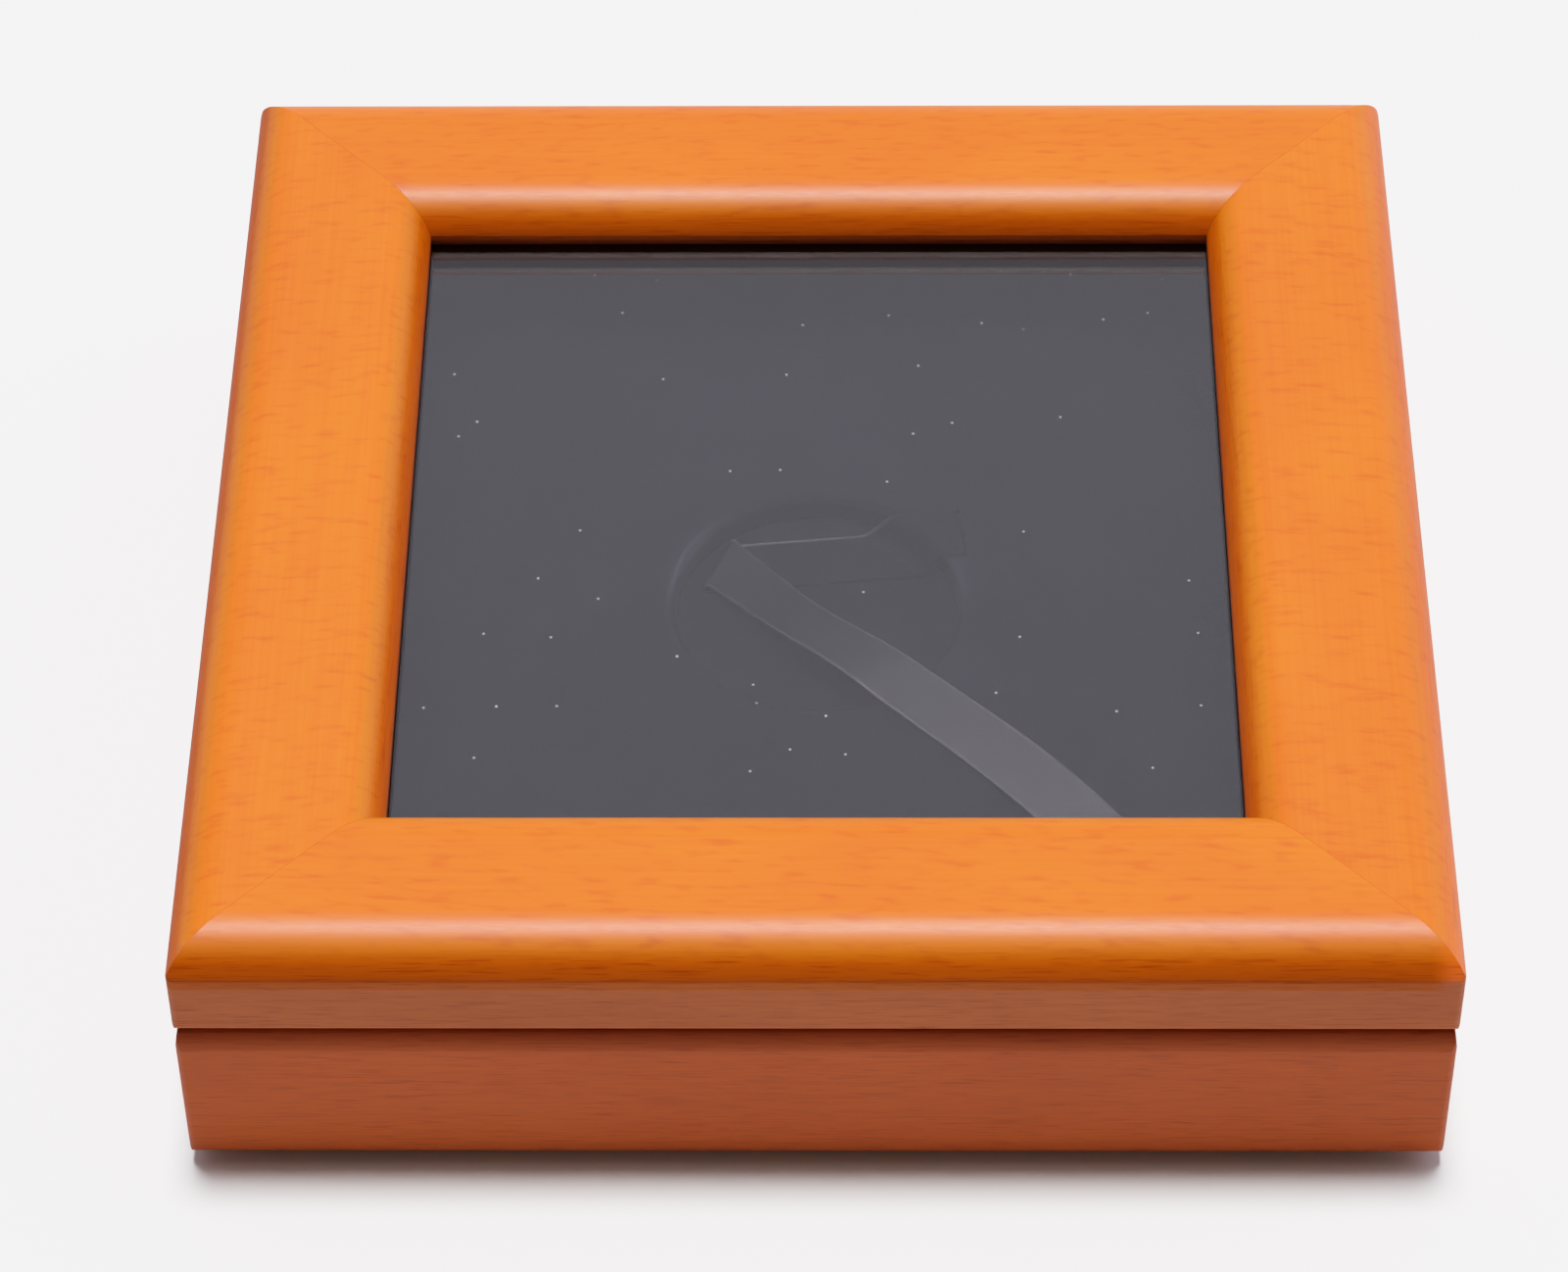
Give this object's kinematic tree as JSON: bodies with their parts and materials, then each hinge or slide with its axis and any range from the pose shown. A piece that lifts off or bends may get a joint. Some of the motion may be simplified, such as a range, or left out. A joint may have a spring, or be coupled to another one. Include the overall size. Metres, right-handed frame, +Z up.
{
  "type": "coin display case",
  "caption": "Square wooden display case for a coin: hinged mitred frame lid with a glass pane, and a velvet insert with a round recess and a lifting ribbon.",
  "frame": {"origin": "middle of the underside, on the resting face", "axes": "+Z up, -Y towards the front of the case, hinge axis along X at the back"},
  "size_m": [0.17, 0.17, 0.0449],
  "materials": {
    "stained_beech": "satin lacquer over orange stain",
    "spline_plywood": "bare",
    "panel_plywood": "bare",
    "black_bead": "matt black",
    "glass": "clear float glass",
    "fibreboard": "bare",
    "velvet": "black velvet",
    "satin_ribbon": "black satin",
    "felt": "black felt",
    "hinge_brass": "polished",
    "screw_brass": "polished"
  },
  "bodies": {
    "base": {"base_side_front": "stained_beech", "base_side_back": "stained_beech", "base_side_left": "stained_beech", "base_side_right": "stained_beech", "base_splines": "spline_plywood", "base_panel": "panel_plywood", "base_felt": "felt", "insert_riser": "fibreboard", "recess_velvet": "velvet", "insert_board": "fibreboard", "insert_velvet": "velvet", "lift_ribbon": "satin_ribbon", "hinge_leaf_base_left": "hinge_brass", "hinge_leaf_base_right": "hinge_brass", "hinge_pin_left": "hinge_brass", "hinge_pin_right": "hinge_brass", "base_hinge_screws": "screw_brass"},
    "lid": {"lid_rail_front": "stained_beech", "lid_rail_back": "stained_beech", "lid_rail_left": "stained_beech", "lid_rail_right": "stained_beech", "lid_splines": "spline_plywood", "glass_pane": "glass", "glazing_bead_front": "black_bead", "glazing_bead_back": "black_bead", "glazing_bead_left": "black_bead", "glazing_bead_right": "black_bead", "hinge_leaf_lid_left": "hinge_brass", "hinge_leaf_lid_right": "hinge_brass", "lid_hinge_screws": "screw_brass"}
  },
  "joints": [
    {"name": "lid_hinge", "type": "hinge", "parent": "base", "child": "lid", "pos_m": [0, 0.081, 0.02885], "axis": [-1, 0, 0], "range_deg": [0, 95]}
  ]
}
